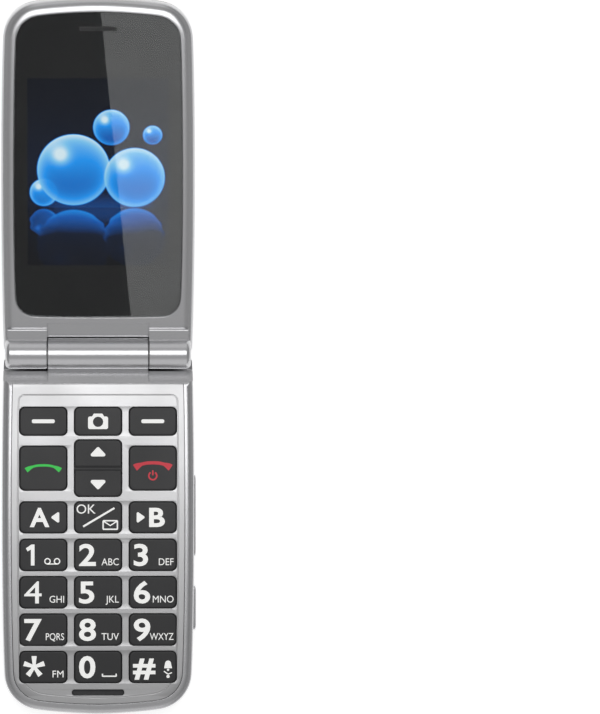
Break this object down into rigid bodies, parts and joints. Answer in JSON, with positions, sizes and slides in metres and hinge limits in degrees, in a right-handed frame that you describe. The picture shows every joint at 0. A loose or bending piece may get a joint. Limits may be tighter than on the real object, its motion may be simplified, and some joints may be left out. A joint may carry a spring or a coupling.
{
  "type": "flip phone",
  "caption": "Folding mobile phone with a hinged screen half, a raised-key keypad half, an outer glass with a clock face and a removable battery cover.",
  "frame": {"origin": "middle of the keypad half's flat rear face, halfway between the hinge axis and the free end", "axes": "+Z out of the keypad, +Y towards the hinge and the open screen half, +X to the right of a user who reads the keys"},
  "size_m": [0.0511, 0.1872, 0.0347],
  "materials": {
    "silver_shell": "silver lacquer on moulded ABS, satin",
    "rear_shell": "grey lacquer on moulded ABS, satin",
    "grey_cover": "metallic grey lacquer on moulded ABS, satin",
    "keypad_silver": "bright silver lacquer, semi gloss",
    "key_black": "black polycarbonate key caps with printed marks",
    "outer_key_black": "gloss black key caps",
    "silicone": "moulded silicone",
    "dark_rubber": "moulded rubber",
    "steel": "stamped or turned steel",
    "circuit_board": "green solder mask on glass fibre board",
    "battery_can": "deep drawn can in a dark plain wrap",
    "gold_contact": "gold flash",
    "black_component": "moulded black resin",
    "amber_film": "polyimide film",
    "inner_glass": "polished, black printed border",
    "outer_glass": "polished, black printed border",
    "inner_screen": "lit blue picture",
    "outer_screen": "lit clock picture"
  },
  "bodies": {
    "base": {"base_front_shell": "silver_shell", "base_rear_shell": "rear_shell", "keypad_plate": "keypad_silver", "keypad_membrane": "silicone", "dome_sheet": "steel", "main_board": "circuit_board", "battery": "battery_can", "battery_contacts": "gold_contact", "card_socket": "steel", "vibration_motor": "steel", "usb_port": "steel", "charge_contacts": "gold_contact", "microphone": "black_component", "antenna": "amber_film", "base_screws": "steel", "screw_plugs": "dark_rubber", "hinge_spring_unit": "steel", "hinge_bush": "steel", "hinge_flex": "amber_film"},
    "lid": {"lid_inner_frame": "silver_shell", "lid_outer_cover": "grey_cover", "inner_glass": "inner_glass", "inner_display": "inner_screen", "outer_glass": "outer_glass", "outer_display": "outer_screen", "lid_board": "circuit_board", "earpiece": "black_component", "ringer_speaker": "black_component", "camera_module": "black_component", "lid_screws": "steel", "lid_magnet": "steel", "hinge_cam_shaft": "steel", "hinge_pivot_tube": "steel"},
    "battery_cover": {"battery_cover": "rear_shell"},
    "volume_rocker": {"volume_rocker": "keypad_silver"},
    "side_key": {"side_key": "keypad_silver"},
    "nav_rocker": {"nav_rocker": "key_black"},
    "softkey_left": {"softkey_left": "key_black"},
    "camera_key": {"camera_key": "key_black"},
    "softkey_right": {"softkey_right": "key_black"},
    "call_key": {"call_key": "key_black"},
    "end_key": {"end_key": "key_black"},
    "key_a": {"key_a": "key_black"},
    "key_ok": {"key_ok": "key_black"},
    "key_b": {"key_b": "key_black"},
    "key_1": {"key_1": "key_black"},
    "key_2": {"key_2": "key_black"},
    "key_3": {"key_3": "key_black"},
    "key_4": {"key_4": "key_black"},
    "key_5": {"key_5": "key_black"},
    "key_6": {"key_6": "key_black"},
    "key_7": {"key_7": "key_black"},
    "key_8": {"key_8": "key_black"},
    "key_9": {"key_9": "key_black"},
    "key_star": {"key_star": "key_black"},
    "key_0": {"key_0": "key_black"},
    "key_hash": {"key_hash": "key_black"},
    "outer_call_key": {"outer_call_key": "outer_key_black"},
    "outer_clock_key": {"outer_clock_key": "outer_key_black"},
    "outer_end_key": {"outer_end_key": "outer_key_black"}
  },
  "joints": [
    {"name": "lid_hinge", "type": "hinge", "parent": "base", "child": "lid", "pos_m": [0, 0.0473, 0.01055], "axis": [1, 0, 0], "range_deg": [0, 165]},
    {"name": "softkey_left_press", "type": "slide", "parent": "base", "child": "softkey_left", "axis": [0, 0, -1], "range_m": [0, 0.0003], "stiffness_N_per_m": 200},
    {"name": "camera_key_press", "type": "slide", "parent": "base", "child": "camera_key", "axis": [0, 0, -1], "range_m": [0, 0.0003], "stiffness_N_per_m": 200},
    {"name": "softkey_right_press", "type": "slide", "parent": "base", "child": "softkey_right", "axis": [0, 0, -1], "range_m": [0, 0.0003], "stiffness_N_per_m": 200},
    {"name": "call_key_press", "type": "slide", "parent": "base", "child": "call_key", "axis": [0, 0, -1], "range_m": [0, 0.0003], "stiffness_N_per_m": 200},
    {"name": "end_key_press", "type": "slide", "parent": "base", "child": "end_key", "axis": [0, 0, -1], "range_m": [0, 0.0003], "stiffness_N_per_m": 200},
    {"name": "key_a_press", "type": "slide", "parent": "base", "child": "key_a", "axis": [0, 0, -1], "range_m": [0, 0.0003], "stiffness_N_per_m": 200},
    {"name": "key_ok_press", "type": "slide", "parent": "base", "child": "key_ok", "axis": [0, 0, -1], "range_m": [0, 0.0003], "stiffness_N_per_m": 200},
    {"name": "key_b_press", "type": "slide", "parent": "base", "child": "key_b", "axis": [0, 0, -1], "range_m": [0, 0.0003], "stiffness_N_per_m": 200},
    {"name": "key_1_press", "type": "slide", "parent": "base", "child": "key_1", "axis": [0, 0, -1], "range_m": [0, 0.0003], "stiffness_N_per_m": 200},
    {"name": "key_2_press", "type": "slide", "parent": "base", "child": "key_2", "axis": [0, 0, -1], "range_m": [0, 0.0003], "stiffness_N_per_m": 200},
    {"name": "key_3_press", "type": "slide", "parent": "base", "child": "key_3", "axis": [0, 0, -1], "range_m": [0, 0.0003], "stiffness_N_per_m": 200},
    {"name": "key_4_press", "type": "slide", "parent": "base", "child": "key_4", "axis": [0, 0, -1], "range_m": [0, 0.0003], "stiffness_N_per_m": 200},
    {"name": "key_5_press", "type": "slide", "parent": "base", "child": "key_5", "axis": [0, 0, -1], "range_m": [0, 0.0003], "stiffness_N_per_m": 200},
    {"name": "key_6_press", "type": "slide", "parent": "base", "child": "key_6", "axis": [0, 0, -1], "range_m": [0, 0.0003], "stiffness_N_per_m": 200},
    {"name": "key_7_press", "type": "slide", "parent": "base", "child": "key_7", "axis": [0, 0, -1], "range_m": [0, 0.0003], "stiffness_N_per_m": 200},
    {"name": "key_8_press", "type": "slide", "parent": "base", "child": "key_8", "axis": [0, 0, -1], "range_m": [0, 0.0003], "stiffness_N_per_m": 200},
    {"name": "key_9_press", "type": "slide", "parent": "base", "child": "key_9", "axis": [0, 0, -1], "range_m": [0, 0.0003], "stiffness_N_per_m": 200},
    {"name": "key_star_press", "type": "slide", "parent": "base", "child": "key_star", "axis": [0, 0, -1], "range_m": [0, 0.0003], "stiffness_N_per_m": 200},
    {"name": "key_0_press", "type": "slide", "parent": "base", "child": "key_0", "axis": [0, 0, -1], "range_m": [0, 0.0003], "stiffness_N_per_m": 200},
    {"name": "key_hash_press", "type": "slide", "parent": "base", "child": "key_hash", "axis": [0, 0, -1], "range_m": [0, 0.0003], "stiffness_N_per_m": 200},
    {"name": "nav_rocker_tilt", "type": "hinge", "parent": "base", "child": "nav_rocker", "pos_m": [0, 0.01725, 0.0083], "axis": [1, 0, 0], "range_deg": [-2, 2], "stiffness_Nm_per_rad": 0.01},
    {"name": "outer_call_key_press", "type": "slide", "parent": "lid", "child": "outer_call_key", "axis": [0, -0.2588, 0.9659], "range_m": [0, 0.0003], "stiffness_N_per_m": 200},
    {"name": "outer_clock_key_press", "type": "slide", "parent": "lid", "child": "outer_clock_key", "axis": [0, -0.2588, 0.9659], "range_m": [0, 0.0003], "stiffness_N_per_m": 200},
    {"name": "outer_end_key_press", "type": "slide", "parent": "lid", "child": "outer_end_key", "axis": [0, -0.2588, 0.9659], "range_m": [0, 0.0003], "stiffness_N_per_m": 200},
    {"name": "volume_rocker_tilt", "type": "hinge", "parent": "base", "child": "volume_rocker", "pos_m": [0.0234, 0.00475, 0.0061], "axis": [0, 0, 1], "range_deg": [-1.5, 1.5], "stiffness_Nm_per_rad": 0.01},
    {"name": "side_key_press", "type": "slide", "parent": "base", "child": "side_key", "axis": [-1, 0, 0], "range_m": [0, 0.0003], "stiffness_N_per_m": 200},
    {"name": "battery_cover_off", "type": "slide", "parent": "base", "child": "battery_cover", "axis": [0, 0, -1], "range_m": [0, 0.015]}
  ]
}
